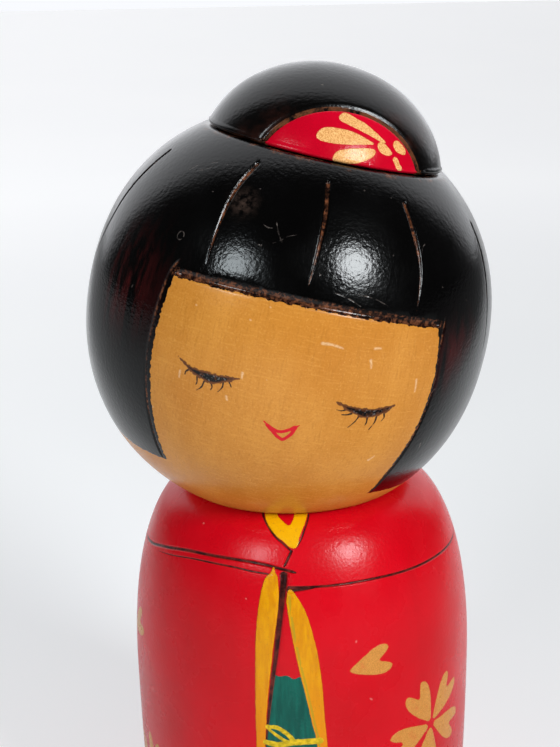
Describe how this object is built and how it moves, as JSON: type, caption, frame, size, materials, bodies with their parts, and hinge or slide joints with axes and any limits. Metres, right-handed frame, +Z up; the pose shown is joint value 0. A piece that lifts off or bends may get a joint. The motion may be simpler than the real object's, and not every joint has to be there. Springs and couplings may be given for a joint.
{
  "type": "kokeshi doll",
  "caption": "Turned wooden kokeshi doll with a round-shouldered body, a big leaning head that turns on a neck peg, and a domed hair bun.",
  "frame": {"origin": "centre of the flat underside of the body", "axes": "+Z up along the body's axis, -Y out of the front of the kimono, +X to the side the head leans to"},
  "size_m": [0.1008, 0.1, 0.2334],
  "materials": {
    "red_lacquer": "crimson gloss lacquer over turned wood, with carved seams and painted kimono details",
    "bare_wood": "bare turned dowel",
    "black_lacquer": "black gloss lacquer hair over turned wood, with a clear-varnished wooden face",
    "bun_lacquer": "black gloss lacquer over turned wood",
    "peg_wood": "bare turned dowel",
    "cloth_lacquer": "red gloss lacquer with a gold painted flower"
  },
  "bodies": {
    "body": {"body": "red_lacquer", "neck_peg": "bare_wood"},
    "head": {"head": "black_lacquer", "hair_bun": "bun_lacquer", "bun_peg": "peg_wood", "hair_cloth": "cloth_lacquer"}
  },
  "joints": [
    {"name": "head_turn", "type": "hinge", "parent": "body", "child": "head", "pos_m": [0, 0, 0.13], "axis": [0, 0, 1], "continuous": true}
  ]
}
